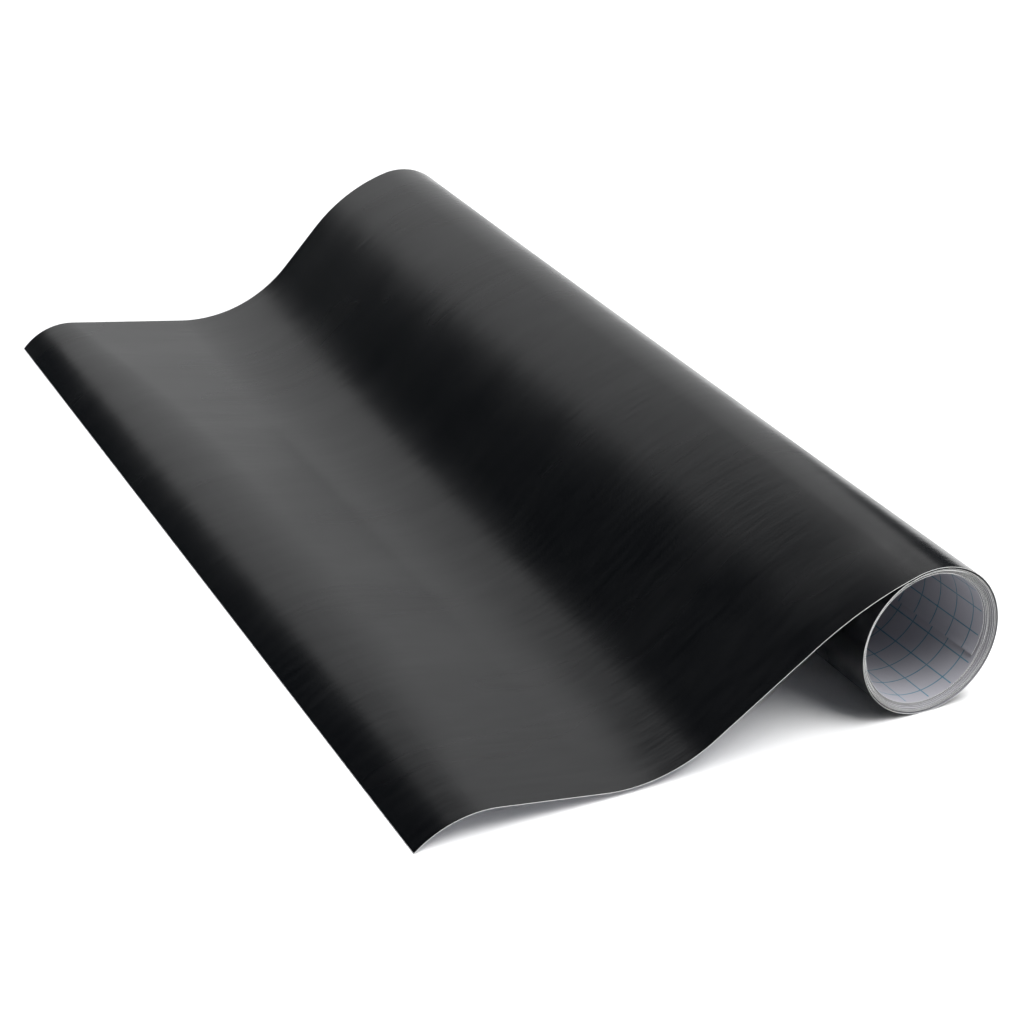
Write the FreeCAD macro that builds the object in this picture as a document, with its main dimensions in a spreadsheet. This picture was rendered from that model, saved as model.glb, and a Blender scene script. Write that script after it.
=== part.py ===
import FreeCAD, Part
import math
import os

import Sketcher


# A coreless roll of self-adhesive sign vinyl, 500 mm wide, with its first 0.2 m unrolled.
#
# The web is a black vinyl film, its adhesive and a white paper liner. It is one long strip, wound film
# side out. It is described once, from the inner end to the leading edge, as a chain of bends and
# straight runs that meet at a tangent, and it is cut into sections where it flexes.
#
# Frame: millimetres, +Z up. The origin is on the axis of the bore, halfway along the roll. +Y runs
# along the axis and the lead goes towards -X. Angles are in degrees, from +X towards +Z.

DIMENSIONS = (
    ("web_width", 500.0, "width of the web, which is the length of the roll"),
    ("film_thickness", 0.08, "calendered vinyl film"),
    ("adhesive_thickness", 0.02, "adhesive on the film, left as the gap between film and liner"),
    ("liner_thickness", 0.12, "silicone-coated paper liner"),
    ("bore_radius", 25.5, "inside of the innermost turn"),
    ("bore_angle", -25.0, "where the inner end lies in the bore, on the slack side of the coil"),
    ("wound_turns", 8.0, "whole turns under the outermost one"),
    ("slack_pitch", 0.46, "from one turn to the next on the slack side"),
    ("tight_pitch", 0.27, "from one turn to the next on the other side"),
    ("slip_clearance", 0.15, "between the wound turns and the outermost turn"),
    ("inner_end_sweep", 55.0, "part of the innermost turn that can spring loose"),
    ("flex_gap", 0.3, "between two sections that flex against each other"),
    ("loose_radius", 31.2, "last quarter of the outermost turn, which stands off the coil"),
    ("leave_angle", 20.0, "past the top of the coil, where the lead leaves it"),
    ("shoulder_radius", 101.0, "lead bending down off the coil"),
    ("slope_angle", 41.0, "steepest part of the lead, below the horizontal"),
    ("slope_run", 35.1, "straight part of the slope"),
    ("trough_radius", 67.0, "lead bending up where it meets the ground"),
    ("rise_angle", 9.0, "far side of the trough, above the horizontal"),
    ("rise_run", 47.5, "straight part after the trough"),
    ("curl_radius", 37.0, "leading edge curling down to the ground"),
    ("edge_angle", 40.6, "leading edge, below the horizontal"),
    ("peel_length", 20.0, "film that is peeled off the liner at the leading edge"),
)

# A short section is far thinner than it is curved, so its bends are drawn as arcs this flat, in mm.
ARC_RISE = 0.02
HALF_TURN = 180.0
FULL_TURN = 360.0
RIGHT_ANGLE = 90.0


class Bend:
    """An arc of the web. A positive sweep curls it the way the coil is wound, a negative one the other
    way. Its radius is a formula of the sheet, taken at the liner's free face."""

    def __init__(self, radius, sweep):
        self.radius = radius
        self.sweep = sweep


class Run:
    """A straight stretch of the web. Its length is a formula of the sheet."""

    def __init__(self, length):
        self.length = length


def make_sheet(doc):
    sheet = doc.addObject("Spreadsheet::Sheet", "Dimensions")
    for row, (alias, value, meaning) in enumerate(DIMENSIONS, start=1):
        sheet.set(f"A{row}", alias)
        sheet.set(f"B{row}", str(value))
        sheet.set(f"C{row}", meaning)
        sheet.setAlias(f"B{row}", alias)
    doc.recompute()
    return sheet


def size(formula):
    """The value of a formula of the sheet's aliases."""
    return float(sheet.evalExpression(formula))


def direction(angle):
    return FreeCAD.Vector(math.cos(math.radians(angle)), math.sin(math.radians(angle)), 0)


class Pose:
    """A place on the liner's free face and the heading of the web there, in the plane of the end."""

    def __init__(self, point, heading):
        self.point = point
        self.heading = heading

    def outward(self):
        return direction(self.heading - RIGHT_ANGLE)

    def at(self, depth):
        """The point of the web that lies depth above the liner's free face."""
        return self.point + self.outward() * depth

    def centre(self, bend):
        return self.point - self.outward() * math.copysign(size(bend.radius), bend.sweep)

    def after(self, step):
        if isinstance(step, Run):
            return Pose(self.point + direction(self.heading) * size(step.length), self.heading)
        arm = self.outward() * math.copysign(size(step.radius), step.sweep)
        turned = FreeCAD.Rotation(FreeCAD.Vector(0, 0, 1), step.sweep).multVec(arm)
        return Pose(self.centre(step) + turned, self.heading + step.sweep)

    def stepped_out(self, distance):
        return Pose(self.at(distance), self.heading)


def layer_edge(pose, step, depth):
    """One step of the web at a depth in it, as sketch geometry."""
    start = pose.at(depth)
    end = pose.after(step).at(depth)
    if isinstance(step, Run):
        return Part.LineSegment(start, end)
    halfway = pose.after(Bend(step.radius, step.sweep / 2)).at(depth)
    return Part.Arc(start, halfway, end)


def bind_radius(sketch, edge, step, depth_formula):
    """Ties an arc of a sketch to the sheet."""
    sign = "+" if step.sweep > 0 else "-"
    formula = f"({step.radius}) {sign} ({depth_formula})"
    dimension = sketch.addConstraint(Sketcher.Constraint("Radius", edge, size(formula)))
    sketch.setExpression(f"Constraints[{dimension}]", in_sheet(formula))


def in_sheet(formula):
    """The same formula with the sheet's name before each alias."""
    for alias, _, _ in sorted(DIMENSIONS, key=lambda row: -len(row[0])):
        formula = formula.replace(alias, f"<<Dimensions>>.{alias}")
    return formula


def add_layer(name, pose, steps, low, high):
    """One layer of a section of the web, as a body: a closed sketch of the end, padded to the width.

    low and high are formulas for the depths of its two faces above the liner's free face."""
    body = doc.addObject("PartDesign::Body", name)
    body.Label = name
    plane = next(item for item in body.Origin.OriginFeatures if item.Role == "XZ_Plane")
    sketch = body.newObject("Sketcher::SketchObject", f"{name}_end")
    sketch.AttachmentSupport = [(plane, "")]
    sketch.MapMode = "FlatFace"

    poses = [pose]
    for step in steps:
        poses.append(poses[-1].after(step))
    for depth in (low, high):
        for begin, step in zip(poses, steps):
            edge = sketch.addGeometry(layer_edge(begin, step, size(depth)))
            if isinstance(step, Bend):
                bind_radius(sketch, edge, step, depth)
    for end in (poses[0], poses[-1]):
        sketch.addGeometry(Part.LineSegment(end.at(size(low)), end.at(size(high))))

    pad = body.newObject("PartDesign::Pad", f"{name}_width")
    pad.Profile = sketch
    pad.Midplane = True
    pad.setExpression("Length", "<<Dimensions>>.web_width")
    return body


def add_section(name, pose, steps):
    """A section of the web: its liner and its film, the adhesive's thickness apart."""
    add_layer(f"{name}_liner", pose, steps, "0", "liner_thickness")
    add_layer(f"{name}_film", pose, steps, FILM_FACE, WEB_THICKNESS)


def in_short_arcs(steps):
    """The same steps, with each bend as equal arcs that stand off their chords by ARC_RISE at most."""
    short = []
    for step in steps:
        if isinstance(step, Run):
            short.append(step)
            continue
        longest = 2 * math.degrees(math.acos(1 - ARC_RISE / size(step.radius)))
        count = math.ceil(abs(step.sweep) / longest)
        short.extend(Bend(step.radius, step.sweep / count) for _ in range(count))
    return short


def end_of(pose, steps):
    for step in steps:
        pose = pose.after(step)
    return pose


def half_turn_radius(count):
    """Radius of a half-turn of the coil, counted from the bore. Each is larger than the last by half
    the pitch on the side where they meet, so the coil is slack on one side and tight on the other."""
    slack_steps = (count + 1) // 2
    tight_steps = count // 2
    return f"bore_radius + {slack_steps} * slack_pitch / 2 + {tight_steps} * tight_pitch / 2"


doc = FreeCAD.newDocument("vinyl_roll")
sheet = make_sheet(doc)

FILM_FACE = "liner_thickness + adhesive_thickness"
WEB_THICKNESS = f"{FILM_FACE} + film_thickness"
GAP = Run("flex_gap")

# The angle on the coil where the lead leaves it, and the start of the outermost turn just past it.
lead_angle = RIGHT_ANGLE + size("leave_angle")
SEAM_LEAD = 4.0
seam_angle = lead_angle + SEAM_LEAD

# Inner end and wound turns.
bore_angle = size("bore_angle")
inner_end = Pose(direction(bore_angle) * size("bore_radius"), bore_angle + RIGHT_ANGLE)
inner_end_steps = [Bend("bore_radius", size("inner_end_sweep"))]
gap_sweep = math.degrees(size("flex_gap / bore_radius"))
coil_start = end_of(inner_end, inner_end_steps + [Bend("bore_radius", gap_sweep)])

whole_half_turns = 2 * int(size("wound_turns"))
wound_steps = [Bend("bore_radius", HALF_TURN - size("inner_end_sweep") - gap_sweep)]
for count in range(1, whole_half_turns):
    wound_steps.append(Bend(half_turn_radius(count), HALF_TURN))
last_radius = half_turn_radius(whole_half_turns)
wound_steps.append(Bend(last_radius, seam_angle - bore_angle))
coil_end = end_of(coil_start, wound_steps)

# Outermost turn. It starts one web and one clearance outside the end of the wound turns, about the
# centre of their last arc, so the wound turns can turn freely inside it.
sleeve_radius = f"{last_radius} + {WEB_THICKNESS} + slip_clearance"
sleeve_start = coil_end.stepped_out(size(f"{WEB_THICKNESS} + slip_clearance"))
tight_angle = bore_angle + HALF_TURN
outer_steps = [
    Bend(sleeve_radius, tight_angle - seam_angle),
    Bend(f"{sleeve_radius} + slack_pitch / 2", FULL_TURN - tight_angle),
    Bend("loose_radius", lead_angle),
]
lead_start = end_of(sleeve_start, outer_steps)

# Lead: over the shoulder, down the slope, through the trough, up the rise and down at the leading edge.
trough_half = -(size("slope_angle") + size("rise_angle")) / 2
slope_steps = [
    Bend("shoulder_radius", size("slope_angle - leave_angle")),
    Run("slope_run"),
    Bend("trough_radius", trough_half),
]
arch_steps = [
    Bend("trough_radius", trough_half),
    Run("rise_run"),
]
curl_sweep = size("rise_angle + edge_angle")
peel_sweep = math.degrees(size("peel_length / curl_radius"))
curl_steps = [Bend("curl_radius", curl_sweep)]
held_steps = [Bend("curl_radius", curl_sweep - peel_sweep)]
peel_steps = [Bend("curl_radius", peel_sweep)]

slope_start = lead_start.after(GAP)
arch_start = end_of(slope_start, slope_steps + [GAP])
curl_start = end_of(arch_start, arch_steps + [GAP])
peel_start = end_of(curl_start, held_steps + [GAP])
leading_edge = end_of(curl_start, curl_steps)

add_section("inner_end", inner_end, in_short_arcs(inner_end_steps))
add_section("wound", coil_start, wound_steps)
add_section("outer_turn", sleeve_start, outer_steps)
add_section("slope", slope_start, in_short_arcs(slope_steps))
add_section("arch", arch_start, in_short_arcs(arch_steps))
add_layer("curl_liner", curl_start, in_short_arcs(curl_steps), "0", "liner_thickness")
add_layer("curl_film", curl_start, in_short_arcs(held_steps), FILM_FACE, WEB_THICKNESS)
add_layer("peel_film", peel_start, in_short_arcs(peel_steps), FILM_FACE, WEB_THICKNESS)

doc.recompute()

bodies = [item for item in doc.Objects if item.TypeId == "PartDesign::Body"]
for item in doc.Objects:
    if "Invalid" in item.State or "Error" in item.State:
        raise RuntimeError(f"{item.Name} failed: {item.State}")
for body in bodies:
    if body.Shape.isNull() or not body.Shape.isValid() or len(body.Shape.Solids) != 1:
        raise RuntimeError(f"{body.Label} is not one valid solid")

os.makedirs("parts", exist_ok=True)
for body in bodies:
    body.Shape.exportStep(os.path.join("parts", f"{body.Label}.step"))
    print(f"{body.Label}: {body.Shape.Volume:.0f} mm3")


# Where the joints are, in the plane of the end: in the middle of each gap, half-way through the web.
# The film is peeled about its own face.
HALF_GAP = Run("flex_gap / 2")
MID_WEB = f"({WEB_THICKNESS}) / 2"
joints = (
    ("inner end", end_of(inner_end, inner_end_steps + [Bend("bore_radius", gap_sweep / 2)]).at(size(MID_WEB))),
    ("coil turn", coil_end.centre(wound_steps[-1])),
    ("lead lift", lead_start.after(HALF_GAP).at(size(MID_WEB))),
    ("lead bend", end_of(slope_start, slope_steps + [HALF_GAP]).at(size(MID_WEB))),
    ("edge curl", end_of(arch_start, arch_steps + [HALF_GAP]).at(size(MID_WEB))),
    ("film peel", end_of(curl_start, held_steps + [HALF_GAP]).at(size(WEB_THICKNESS))),
)
for name, point in joints:
    print(f"{name}: x {point.x:.3f}, z {point.y:.3f} mm")
lowest = min(body.Shape.BoundBox.ZMin for body in bodies)
print(f"lowest: {lowest:.3f}, leading edge: {leading_edge.point.y:.3f}")
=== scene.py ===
import math

import bpy
import numpy as np
from mathutils import Matrix, Vector


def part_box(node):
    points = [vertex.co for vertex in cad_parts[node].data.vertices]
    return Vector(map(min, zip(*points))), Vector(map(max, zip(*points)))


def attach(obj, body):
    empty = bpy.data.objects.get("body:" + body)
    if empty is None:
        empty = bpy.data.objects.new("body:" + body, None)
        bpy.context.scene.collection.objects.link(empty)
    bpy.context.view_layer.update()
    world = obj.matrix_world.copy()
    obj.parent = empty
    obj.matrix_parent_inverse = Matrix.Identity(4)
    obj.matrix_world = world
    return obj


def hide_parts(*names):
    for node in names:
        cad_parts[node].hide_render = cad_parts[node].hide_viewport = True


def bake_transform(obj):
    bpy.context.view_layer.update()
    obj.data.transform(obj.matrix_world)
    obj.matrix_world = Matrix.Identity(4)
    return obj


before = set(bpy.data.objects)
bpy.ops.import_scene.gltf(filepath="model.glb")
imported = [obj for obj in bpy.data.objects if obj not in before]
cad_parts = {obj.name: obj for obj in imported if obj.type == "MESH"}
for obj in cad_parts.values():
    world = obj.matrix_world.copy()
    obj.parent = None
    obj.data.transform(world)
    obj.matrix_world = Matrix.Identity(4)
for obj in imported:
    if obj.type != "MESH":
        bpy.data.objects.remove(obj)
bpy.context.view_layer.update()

# Lengths are in millimetres in this script and in metres in Blender. The web is described as in the
# CAD: bends and straight runs that meet at a tangent, here with a near end and a far end that differ.
MM = 0.001
WIDTH = (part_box("slope_film")[1].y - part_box("slope_film")[0].y) / MM
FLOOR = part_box("outer_turn_film")[0].z / MM

# Depths above the liner's free face.
LINER_TOP = 0.12
FILM_BOTTOM = 0.125
FILM_TOP = 0.22
WOUND_FILM_TOP = 0.25  # a little thicker, so that the edges of the wound turns can be told apart

# How far the liner's cut edge stands past the film's, which lets it show as a pale line.
LINER_PROUD = 0.12
WOUND_LINER_PROUD = 0.02

# Coil, as wound.
BORE_RADIUS = 25.5
BORE_ANGLE = -25.0
SLACK_PITCH = 0.46
TIGHT_PITCH = 0.27
SLIP_CLEARANCE = 0.15
HALF_TURNS = 16
INNER_END_SWEEP = 55.0
SEAM_ANGLE = 114.0
TIGHT_ANGLE = BORE_ANGLE + 180.0
TURN_STEPS = 36  # points in a half turn of the coil
LAST_ARC_STEPS = 28
MEAN_TURN_RADIUS = 27
TURN_SKEW = 2.2  # how much deeper the innermost turn lies than the outermost
TURN_WANDER = 0.32
WANDER_WAVES = ((1.0, 5.1, 0.0), (0.7, 12.7, 1.0), (0.4, 23.9, 2.0))  # size, radians a turn, phase
WANDER_FADE = 6  # the wander dies out over the last sixth of the coil
INNER_END_LIFT = 0.7
INNER_END_OVERRUN = 5.0
OVERRUN_STEPS = 2
ROOT_STEPS = 4  # from the hinge to the end of the inner end's piece

# Lead and lower right half of the outermost turn, at the two ends of the roll: radii and slopes.
NEAR = {
    "belly": 29.02, "loose": 29.3, "leave": 15.6, "shoulder": 143.0, "slope": 33.7,
    "trough": 60.6, "rise": 8.9, "curl": 39.4, "edge_x": -202.0, "trough_gap": 2.0,
}
FAR = {
    "belly": 35.7, "loose": 29.6, "leave": 14.9, "shoulder": 85.8, "slope": 46.6,
    "trough": 68.2, "rise": 8.7, "curl": 28.9, "edge_x": -202.2, "trough_gap": 0.1,
}
FLARE = 2.04  # how late across the width the near shape turns into the far one
# What the middle of the width adds to the shape that the two ends give it.
MIDDLE = {"belly": 1.3, "slope": 7.0, "rise": 3.0, "curl": 24.0}
FLOOR_GAP = 0.1
SETTLING_ROUNDS = 8
START_RUN = 45.0
PEEL_LENGTH = 20.0
PEEL_ROOT = 6.0  # film before the peel's hinge, in the same piece

# How two neighbouring pieces share the loose arc, the slope and the rise.
LOOSE_SPLIT = (0.55, 0.45)
SLOPE_SPLIT = (0.6, 0.4)
RISE_SPLIT = (0.5, 0.5)

# Points along each arc or run, and across the width.
STEPS = {
    "sleeve": 12, "tight": 34, "belly": 28, "loose": 24, "shoulder": 20, "slope": 10,
    "slope_foot": 8, "trough": 40, "rise": 10, "curl": 8, "flap": 24,
}
LEAD_STATIONS = 100
COIL_STATIONS = 8
SHARP_ANGLE = 40


def at_width(name, share):
    """A dimension of the lead, from 0 at the near end to 1 at the far end."""
    bulge = MIDDLE.get(name, 0.0) * 4 * share * (1 - share)
    return NEAR[name] + (FAR[name] - NEAR[name]) * share ** FLARE + bulge


# ---- the web's line, in the plane of the end: x and z -------------------------------------------

class Line:
    """Points of the liner's free face with the web's heading and the length so far, in millimetres."""

    def __init__(self, point, heading, length=0.0):
        self.points = [np.array(point, float)]
        self.headings = [heading]
        self.lengths = [length]

    @staticmethod
    def outward(heading):
        angle = math.radians(heading - 90)
        return np.array([math.cos(angle), math.sin(angle)])

    def bend(self, radius, sweep, count):
        arm = math.copysign(radius, sweep)
        start, heading, length = self.points[-1], self.headings[-1], self.lengths[-1]
        centre = start - self.outward(heading) * arm
        for step in range(1, count + 1):
            turned = heading + sweep * step / count
            self.points.append(centre + self.outward(turned) * arm)
            self.headings.append(turned)
            self.lengths.append(length + math.radians(abs(sweep)) * radius * step / count)
        return self

    def run(self, distance, count):
        start, heading, length = self.points[-1], self.headings[-1], self.lengths[-1]
        along = np.array([-self.outward(heading)[1], self.outward(heading)[0]])
        for step in range(1, count + 1):
            self.points.append(start + along * distance * step / count)
            self.headings.append(heading)
            self.lengths.append(length + distance * step / count)
        return self

    def step_out(self, distance):
        self.points[-1] = self.points[-1] + self.outward(self.headings[-1]) * distance
        return self

    def slice(self, first, last):
        part = Line(self.points[first], self.headings[first], self.lengths[first])
        part.points = self.points[first:last + 1]
        part.headings = self.headings[first:last + 1]
        part.lengths = self.lengths[first:last + 1]
        return part


def half_turn_radius(count):
    return BORE_RADIUS + (count + 1) // 2 * SLACK_PITCH / 2 + count // 2 * TIGHT_PITCH / 2


def coil_line():
    heading = BORE_ANGLE + 90 - INNER_END_OVERRUN
    line = Line(Line.outward(heading) * BORE_RADIUS, heading)
    line.bend(BORE_RADIUS, INNER_END_OVERRUN, OVERRUN_STEPS)
    for count in range(HALF_TURNS):
        line.bend(half_turn_radius(count), 180, TURN_STEPS)
    line.bend(half_turn_radius(HALF_TURNS), SEAM_ANGLE - BORE_ANGLE, LAST_ARC_STEPS)
    return line


COIL = coil_line()


def lead_line(share, slope_run, rise_run):
    """Outermost turn and lead at a share of the width, the indices where its pieces meet, and how far
    its trough and its leading edge are from their places."""
    size = {name: at_width(name, share) for name in NEAR}
    line = Line(COIL.points[-1], COIL.headings[-1] % 360, COIL.lengths[-1])
    line.step_out(FILM_TOP + SLIP_CLEARANCE)
    sleeve = half_turn_radius(HALF_TURNS) + FILM_TOP + SLIP_CLEARANCE
    line.bend(sleeve, TIGHT_ANGLE - SEAM_ANGLE, STEPS["sleeve"])
    line.bend(sleeve + SLACK_PITCH / 2, 270 - TIGHT_ANGLE, STEPS["tight"])
    line.bend(size["belly"], 90, STEPS["belly"])
    to_leave = 90 + size["leave"]
    marks = {"seam": 0}
    line.bend(size["loose"], to_leave * LOOSE_SPLIT[0], STEPS["loose"])
    marks["shoulder"] = len(line.points) - 1
    line.bend(size["loose"], to_leave * LOOSE_SPLIT[1], STEPS["loose"])
    line.bend(size["shoulder"], size["slope"] - size["leave"], STEPS["shoulder"])
    line.run(slope_run * SLOPE_SPLIT[0], STEPS["slope"])
    marks["trough"] = len(line.points) - 1
    line.run(slope_run * SLOPE_SPLIT[1], STEPS["slope_foot"])
    line.bend(size["trough"], -size["slope"] - size["rise"], STEPS["trough"])
    lowest = min(point[1] for point in line.points[marks["trough"]:])
    line.run(rise_run * RISE_SPLIT[0], STEPS["rise"])
    marks["crest"] = len(line.points) - 1
    line.run(rise_run * RISE_SPLIT[1], STEPS["rise"])
    centre = line.points[-1] - Line.outward(line.headings[-1]) * size["curl"]
    drop = (FLOOR + FLOOR_GAP - centre[1]) / size["curl"]
    down = math.degrees(math.asin(min(1, max(-1, drop))))
    sweep = (270 - down - line.headings[-1]) % 360
    flap = math.degrees((PEEL_LENGTH + PEEL_ROOT) / size["curl"])
    line.bend(size["curl"], sweep - flap, STEPS["curl"])
    marks["flap"] = len(line.points) - 1
    line.bend(size["curl"], flap, STEPS["flap"])
    marks["end"] = len(line.points) - 1
    slope_error = (lowest - FLOOR - size["trough_gap"]) / math.sin(math.radians(size["slope"]))
    return line, marks, slope_error, line.points[-1][0] - size["edge_x"]


def laid_lead(share):
    """The lead with its two straight runs chosen so that its trough and leading edge meet the floor."""
    slope_run = START_RUN
    rise_run = START_RUN
    for _ in range(SETTLING_ROUNDS):
        line, marks, slope_error, rise_error = lead_line(share, slope_run, rise_run)
        slope_run += slope_error
        rise_run += rise_error
    return line, marks


# ---- meshes -------------------------------------------------------------------------------------

def smooth_by_angle(mesh):
    mesh.shade_smooth()
    mesh.set_sharp_from_angle(angle=math.radians(SHARP_ANGLE))


def layer(name, lines, widths, low, high, proud=0.0, skew=None):
    """A closed thin sheet between two depths. lines are the web's lines at each of widths."""
    rows, columns = len(widths), len(lines[0].points)
    verts = np.zeros((2, rows, columns, 3))
    uvs = np.zeros((rows, columns, 2))
    for row, (line, width) in enumerate(zip(lines, widths)):
        out = np.array([Line.outward(heading) for heading in line.headings])
        base = np.array(line.points)
        shift = math.copysign(proud, width) if row in (0, rows - 1) else 0.0
        if skew is not None:
            shift = shift + skew(np.array(line.lengths))
        for side, depth in enumerate((low, high)):
            flat = base + out * depth
            verts[side, row, :, 0] = flat[:, 0]
            verts[side, row, :, 1] = width + shift
            verts[side, row, :, 2] = flat[:, 1]
        uvs[row, :, 0] = line.lengths
        uvs[row, :, 1] = width
    return sheet_mesh(name, verts * MM, uvs * MM)


def sheet_mesh(name, verts, uvs):
    """A closed mesh from two grids of points, lower and upper, with the web's own coordinates as UVs."""
    _, rows, columns, _ = verts.shape
    index = np.arange(2 * rows * columns).reshape(2, rows, columns)
    faces = []
    for row in range(rows - 1):
        for column in range(columns - 1):
            low = [index[0, row, column], index[0, row, column + 1],
                   index[0, row + 1, column + 1], index[0, row + 1, column]]
            high = [index[1, row, column], index[1, row + 1, column],
                    index[1, row + 1, column + 1], index[1, row, column + 1]]
            faces += [low, high]
    for column in range(columns - 1):
        faces.append([index[0, 0, column], index[1, 0, column],
                      index[1, 0, column + 1], index[0, 0, column + 1]])
        faces.append([index[0, -1, column], index[0, -1, column + 1],
                      index[1, -1, column + 1], index[1, -1, column]])
    for row in range(rows - 1):
        faces.append([index[0, row, 0], index[0, row + 1, 0], index[1, row + 1, 0], index[1, row, 0]])
        faces.append([index[0, row, -1], index[1, row, -1], index[1, row + 1, -1], index[0, row + 1, -1]])
    mesh = bpy.data.meshes.new(name)
    mesh.from_pydata(verts.reshape(-1, 3).tolist(), [], [[int(i) for i in face] for face in faces])
    mesh.update()
    free_face = mesh.attributes.new("free_face", "FLOAT", "FACE")
    walls = 2 * (rows - 1) * (columns - 1)
    free_face.data.foreach_set("value", [float(i < walls and i % 2 == 0) for i in range(len(faces))])
    uv = mesh.uv_layers.new(name="web")
    flat = np.concatenate([uvs.reshape(-1, 2)] * 2)
    corners = np.zeros(len(mesh.loops), int)
    mesh.loops.foreach_get("vertex_index", corners)
    uv.data.foreach_set("uv", flat[corners].ravel())
    smooth_by_angle(mesh)
    piece = bpy.data.objects.new(name, mesh)
    bpy.context.scene.collection.objects.link(piece)
    return piece


# ---- materials ----------------------------------------------------------------------------------

def new_material(name):
    material = bpy.data.materials.new(name)
    material.use_nodes = True
    nodes = material.node_tree.nodes
    return material, nodes, material.node_tree.links, nodes["Principled BSDF"]


def web_coordinates(nodes, links, scale):
    uv = nodes.new("ShaderNodeUVMap")
    uv.uv_map = "web"
    mapping = nodes.new("ShaderNodeMapping")
    mapping.inputs["Scale"].default_value = scale
    links.new(uv.outputs["UV"], mapping.inputs["Vector"])
    return mapping.outputs["Vector"]


def noise(nodes, links, scale, detail, roughness=0.5):
    texture = nodes.new("ShaderNodeTexNoise")
    texture.inputs["Scale"].default_value = 1.0
    texture.inputs["Detail"].default_value = detail
    texture.inputs["Roughness"].default_value = roughness
    links.new(web_coordinates(nodes, links, scale), texture.inputs["Vector"])
    return texture.outputs["Fac"]


def remap(nodes, links, value, low, high, from_low=0.3, from_high=0.7):
    node = nodes.new("ShaderNodeMapRange")
    node.inputs["From Min"].default_value = from_low
    node.inputs["From Max"].default_value = from_high
    node.inputs["To Min"].default_value = low
    node.inputs["To Max"].default_value = high
    links.new(value, node.inputs["Value"])
    return node.outputs["Result"]


def bump(nodes, links, height, distance, previous=None):
    node = nodes.new("ShaderNodeBump")
    node.inputs["Strength"].default_value = 1.0
    node.inputs["Distance"].default_value = distance
    links.new(height, node.inputs["Height"])
    if previous is not None:
        links.new(previous, node.inputs["Normal"])
    return node.outputs["Normal"]


# Sockets of a colour mix.
MIX_SHARE = 0
MIX_FIRST = 6
MIX_SECOND = 7
MIX_RESULT = 2


def give(links, socket, value):
    """Feeds a socket from another socket, or sets it to a plain value."""
    if isinstance(value, (int, float, tuple)):
        socket.default_value = value
    else:
        links.new(value, socket)


def mix_colours(nodes, links, share, first, second):
    node = nodes.new("ShaderNodeMix")
    node.data_type = "RGBA"
    give(links, node.inputs[MIX_SHARE], share)
    give(links, node.inputs[MIX_FIRST], first)
    give(links, node.inputs[MIX_SECOND], second)
    return node.outputs[MIX_RESULT]


def calculate(nodes, links, operation, first, second=None):
    node = nodes.new("ShaderNodeMath")
    node.operation = operation
    give(links, node.inputs[0], first)
    if second is not None:
        give(links, node.inputs[1], second)
    return node.outputs[0]


# Film. Noise is in cycles per metre along and across the web, relief is in metres.
CLOUDS = (9.0, 26.0, 1.0)
STREAKS = (55.0, 330.0, 1.0)
GRAIN = (260.0, 900.0, 1.0)
CLOUD_DETAIL = 2.0
STREAK_DETAIL = 3.0
GRAIN_DETAIL = 1.0
CLOUD_RELIEF = 0.0003
STREAK_RELIEF = 0.00005
GRAIN_RELIEF = 0.000004
# Painted sheen: the film's black is mixed with a paler tint in streaks, which stand in for streaky
# reflections.
FILM_DARK = (0.0008, 0.0010, 0.0016, 1)
FILM_STREAK_PAINTED_SHEEN = (0.0042, 0.0044, 0.0052, 1)
FILM_ROUGHNESS = (0.22, 0.29)
FILM_IOR = 1.5


def film_material():
    """Satin black vinyl with faint, soft streaks along the web: relief streaks as calendered film has,
    and streaks of paler tint that are painted sheen.
    """
    material, nodes, links, shader = new_material("satin_black_film")
    clouds = noise(nodes, links, CLOUDS, CLOUD_DETAIL)
    streaks = noise(nodes, links, STREAKS, STREAK_DETAIL)
    grain = noise(nodes, links, GRAIN, GRAIN_DETAIL)
    links.new(remap(nodes, links, clouds, *FILM_ROUGHNESS), shader.inputs["Roughness"])
    # Paler streaks in the base colour: painted sheen.
    black_and_painted_sheen = mix_colours(nodes, links, remap(nodes, links, streaks, 0.0, 1.0), FILM_DARK, FILM_STREAK_PAINTED_SHEEN)
    links.new(black_and_painted_sheen, shader.inputs["Base Color"])
    shader.inputs["IOR"].default_value = FILM_IOR
    normal = bump(nodes, links, clouds, CLOUD_RELIEF)
    normal = bump(nodes, links, streaks, STREAK_RELIEF, normal)
    links.new(bump(nodes, links, grain, GRAIN_RELIEF, normal), shader.inputs["Normal"])
    return material


# Liner.
GRID_FROM_INNER_END = 7.7
GRID_FROM_EDGE = 6.2
GRID_HALF_PITCH = 5.0
INK_SOLID = 0.16  # from the middle of a line
INK_FADED = 0.32
UNPRINTED_MARGIN = 1.2
PAPER_CORE = (0.74, 0.74, 0.73, 1)
# Painted shade: the free face gets a darker grey than the white paper core, which darkens the inside of
# the bore.
PAPER_FACE_PAINTED_SHADE = (0.40, 0.395, 0.43, 1)
TEAL_INK = (0.045, 0.20, 0.28, 1)
FIBRES = (400.0, 400.0, 1.0)
FIBRE_DETAIL = 4.0
FIBRE_RELIEF = 0.00002
INK_STRENGTH = (0.75, 1.0)
LINER_ROUGHNESS = (0.42, 0.58)


def grid_lines(nodes, links, place):
    """1 on the lines of the grid and 0 between them."""
    found = []
    for axis, phase in (("X", GRID_FROM_INNER_END), ("Y", GRID_FROM_EDGE - WIDTH / 2)):
        from_line = calculate(nodes, links, "SUBTRACT", place[axis], phase * MM)
        distance = calculate(nodes, links, "PINGPONG", from_line, GRID_HALF_PITCH * MM)
        found.append(remap(nodes, links, distance, 1.0, 0.0, INK_SOLID * MM, INK_FADED * MM))
    return calculate(nodes, links, "MAXIMUM", *found)


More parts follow.
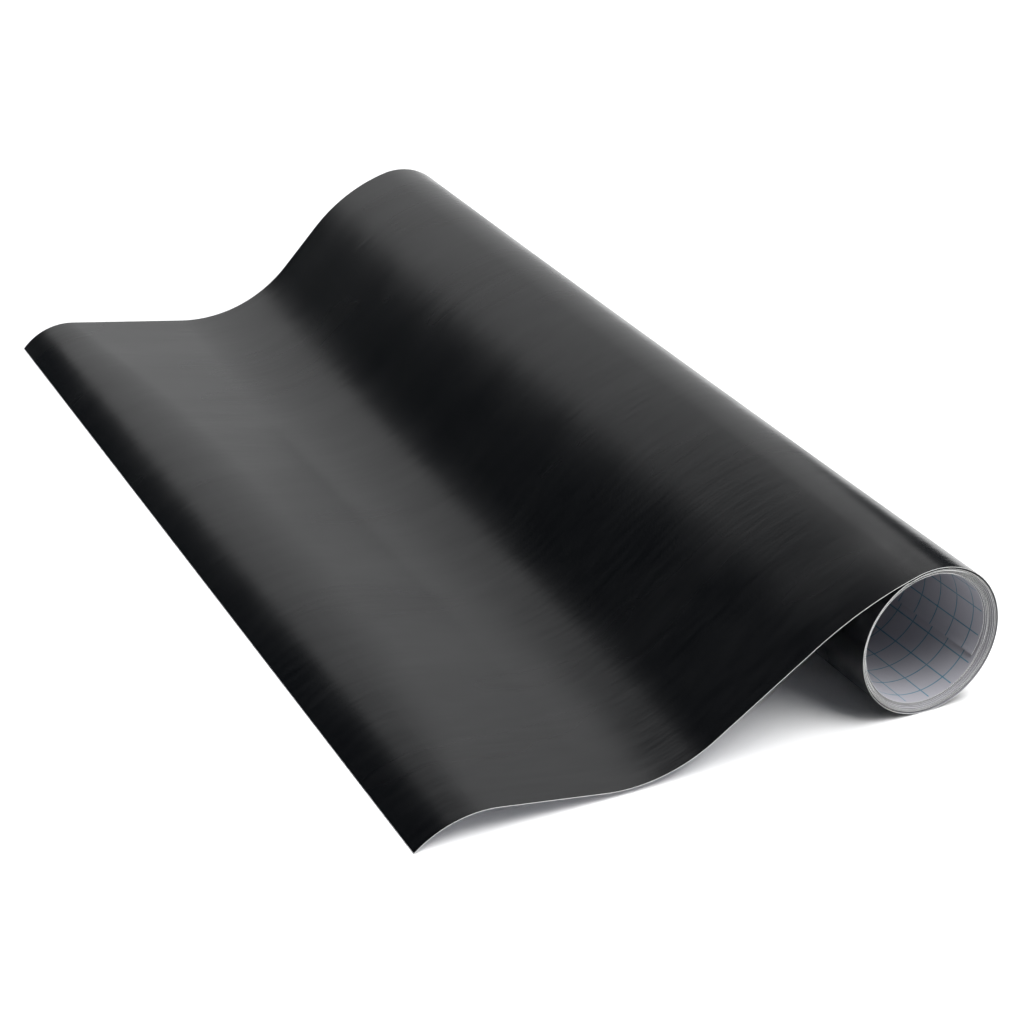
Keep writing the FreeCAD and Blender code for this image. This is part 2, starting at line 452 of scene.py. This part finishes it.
def liner_material():
    """Release paper, coated on its free face, which has a grid of 10 mm squares printed in teal. The free
    face is painted a darker grey than the white paper core, as painted shade.
    """
    material, nodes, links, shader = new_material("gridded_release_paper")
    uv = nodes.new("ShaderNodeUVMap")
    uv.uv_map = "web"
    split = nodes.new("ShaderNodeSeparateXYZ")
    links.new(uv.outputs["UV"], split.inputs["Vector"])
    free_face = nodes.new("ShaderNodeAttribute")
    free_face.attribute_name = "free_face"
    fibres = noise(nodes, links, FIBRES, FIBRE_DETAIL)

    from_middle = calculate(nodes, links, "ABSOLUTE", split.outputs["Y"])
    printed_width = (WIDTH / 2 - UNPRINTED_MARGIN) * MM
    inside = calculate(nodes, links, "LESS_THAN", from_middle, printed_width)
    printable = calculate(nodes, links, "MULTIPLY", inside, free_face.outputs["Fac"])
    printed = calculate(nodes, links, "MULTIPLY", grid_lines(nodes, links, split.outputs), printable)
    strength = remap(nodes, links, fibres, *INK_STRENGTH)
    ink = calculate(nodes, links, "MULTIPLY", printed, strength)

    # Painted shade: the free face is coloured a darker grey than the paper core.
    paper = mix_colours(nodes, links, free_face.outputs["Fac"], PAPER_CORE, PAPER_FACE_PAINTED_SHADE)
    links.new(mix_colours(nodes, links, ink, paper, TEAL_INK), shader.inputs["Base Color"])
    links.new(remap(nodes, links, fibres, *LINER_ROUGHNESS), shader.inputs["Roughness"])
    links.new(bump(nodes, links, fibres, FIBRE_RELIEF), shader.inputs["Normal"])
    return material


FILM = film_material()
LINER = liner_material()


# ---- pieces -------------------------------------------------------------------------------------

def finish_piece(piece, material, node):
    piece.data.materials.append(material)
    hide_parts(node)


def add_film(name, lines, widths, node, skew=None):
    top = FILM_TOP if skew is None else WOUND_FILM_TOP
    piece = layer(name, lines, widths, FILM_BOTTOM, top, skew=skew)
    finish_piece(piece, FILM, node)
    return piece


def add_liner(name, lines, widths, node, skew=None):
    proud = LINER_PROUD if skew is None else WOUND_LINER_PROUD
    piece = layer(name, lines, widths, 0.0, LINER_TOP, proud, skew)
    finish_piece(piece, LINER, node)
    return piece


def stations(count):
    return [WIDTH * (i / count - 0.5) for i in range(count + 1)]


def blend_across(piece):
    """Bakes the piece's placement into its mesh, and leaves it on no body."""
    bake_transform(piece)


def build_lead():
    widths = stations(LEAD_STATIONS)
    found = [laid_lead(width / WIDTH + 0.5) for width in widths]
    marks = found[0][1]

    def between(first, last):
        return [line.slice(marks[first], marks[last]) for line, _ in found]

    sleeve = between("seam", "shoulder")
    for piece in (
        add_liner("liner_outer_turn", sleeve, widths, "outer_turn_liner"),
        add_film("film_outer_turn", sleeve, widths, "outer_turn_film"),
    ):
        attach(piece, "outer_turn")
    shoulder = between("shoulder", "trough")
    for piece in (
        add_liner("liner_slope", shoulder, widths, "slope_liner"),
        add_film("film_slope", shoulder, widths, "slope_film"),
    ):
        blend_across(piece)
    trough = between("trough", "crest")
    for piece in (
        add_liner("liner_arch", trough, widths, "arch_liner"),
        add_film("film_arch", trough, widths, "arch_film"),
    ):
        blend_across(piece)
    curl = between("crest", "end")
    held = between("crest", "flap")
    for piece in (
        add_liner("liner_curl", curl, widths, "curl_liner"),
        add_film("film_curl", held, widths, "curl_film"),
    ):
        blend_across(piece)
    flap = add_film("film_flap", between("flap", "end"), widths, "peel_film")
    blend_across(flap)


def turn_skew(lengths):
    """How far the web has wandered along the roll: the inner turns lie deeper, each by its own amount."""
    turns = lengths / (2 * math.pi * MEAN_TURN_RADIUS)
    left = 1 - lengths / COIL.lengths[-1]
    wander = sum(size * np.sin(turns * rate + phase) for size, rate, phase in WANDER_WAVES)
    return TURN_SKEW * left + TURN_WANDER * wander * np.minimum(1, WANDER_FADE * left)


def sprung_end(line, count):
    """The coil's line with its inner end standing off the turn behind it."""
    for step in range(count):
        lift = INNER_END_LIFT * (1 - step / count) ** 2
        line.points[step] = line.points[step] - Line.outward(line.headings[step]) * lift
    return line


def build_coil():
    widths = stations(COIL_STATIONS)
    hinge = OVERRUN_STEPS + round(TURN_STEPS * INNER_END_SWEEP / 180)
    root = hinge + ROOT_STEPS
    lines = [sprung_end(COIL, hinge)] * len(widths)
    tail = [line.slice(0, root) for line in lines]
    wound = [line.slice(root, len(line.points) - 1) for line in lines]
    for piece in (
        add_liner("liner_coil", wound, widths, "wound_liner", turn_skew),
        add_film("film_coil", wound, widths, "wound_film", turn_skew),
    ):
        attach(piece, "wound_turns")
    for piece in (
        add_liner("liner_inner_end", tail, widths, "inner_end_liner", turn_skew),
        add_film("film_inner_end", tail, widths, "inner_end_film", turn_skew),
    ):
        blend_across(piece)


build_lead()
build_coil()


# ---- stage, light and camera --------------------------------------------------------------------

def plain_material(name, colour, roughness):
    material, _, _, shader = new_material(name)
    shader.inputs["Base Color"].default_value = (*colour, 1)
    shader.inputs["Roughness"].default_value = roughness
    return material


# Metres from here on. Each light has its place, what it points at, its size and its power in watts.
FLOOR_HALF_SIZE = 3.0
FLOOR_COLOUR = (0.93, 0.93, 0.93)
FLOOR_ROUGHNESS = 0.8
LIGHTS = {
    "key": ((0.7, -1.0, 2.6), (0, 0, 0), (2.2, 2.2), 122),
    "fill": ((1.3, -1.7, 0.6), (0, -0.25, 0), (1.0, 0.8), 12),
    "back_wash": ((1.0, 1.3, 2.4), (1.0, 1.3, 0), (1.0, 1.0), 28),
    "back_panel": ((0.77, 2.0, 0.92), (0.77, 0, 0.92), (2.3, 1.9), 9.8),
}
SKY_COLOUR = (0.7, 0.88, 1.0, 1)
SKY_STRENGTH = 0.03
CAMERA_PLACE = (-0.4329, -0.8081, 0.3888)
CAMERA_AZIMUTH = 25.6
CAMERA_ELEVATION = 25.97
CAMERA_ROLL = -0.39
SENSOR_WIDTH = 36.0
FOCAL_LENGTH = 77.6


def build_floor():
    size = FLOOR_HALF_SIZE
    mesh = bpy.data.meshes.new("floor")
    corners = [(-size, -size, 0), (size, -size, 0), (size, size, 0), (-size, size, 0)]
    mesh.from_pydata(corners, [], [(0, 1, 2, 3)])
    mesh.materials.append(plain_material("pale_floor", FLOOR_COLOUR, FLOOR_ROUGHNESS))
    floor = bpy.data.objects.new("floor", mesh)
    floor.location.z = (FLOOR - FLOOR_GAP) * MM
    bpy.context.scene.collection.objects.link(floor)


def area_light(name, place, target, size, power):
    data = bpy.data.lights.new(name, "AREA")
    data.shape = "RECTANGLE"
    data.size, data.size_y = size
    data.energy = power
    light = bpy.data.objects.new(name, data)
    light.location = place
    light.rotation_euler = (Vector(target) - Vector(place)).to_track_quat("-Z", "Y").to_euler()
    bpy.context.scene.collection.objects.link(light)


def build_lights():
    for name, settings in LIGHTS.items():
        area_light(name, *settings)
    world = bpy.data.worlds.new("studio")
    world.use_nodes = True
    background = world.node_tree.nodes["Background"]
    background.inputs["Color"].default_value = SKY_COLOUR
    background.inputs["Strength"].default_value = SKY_STRENGTH
    bpy.context.scene.world = world


def build_camera():
    data = bpy.data.cameras.new("camera")
    data.sensor_width = SENSOR_WIDTH
    data.lens = FOCAL_LENGTH
    camera = bpy.data.objects.new("camera", data)
    turn = Matrix.Rotation(math.radians(-CAMERA_AZIMUTH), 4, "Z")
    tilt = Matrix.Rotation(math.radians(90 - CAMERA_ELEVATION), 4, "X")
    level = Matrix.Rotation(math.radians(CAMERA_ROLL), 4, "Z")
    camera.matrix_world = Matrix.Translation(CAMERA_PLACE) @ turn @ tilt @ level
    bpy.context.scene.collection.objects.link(camera)
    bpy.context.scene.camera = camera


build_floor()
build_lights()
build_camera()
bpy.context.scene.view_settings.view_transform = "Standard"
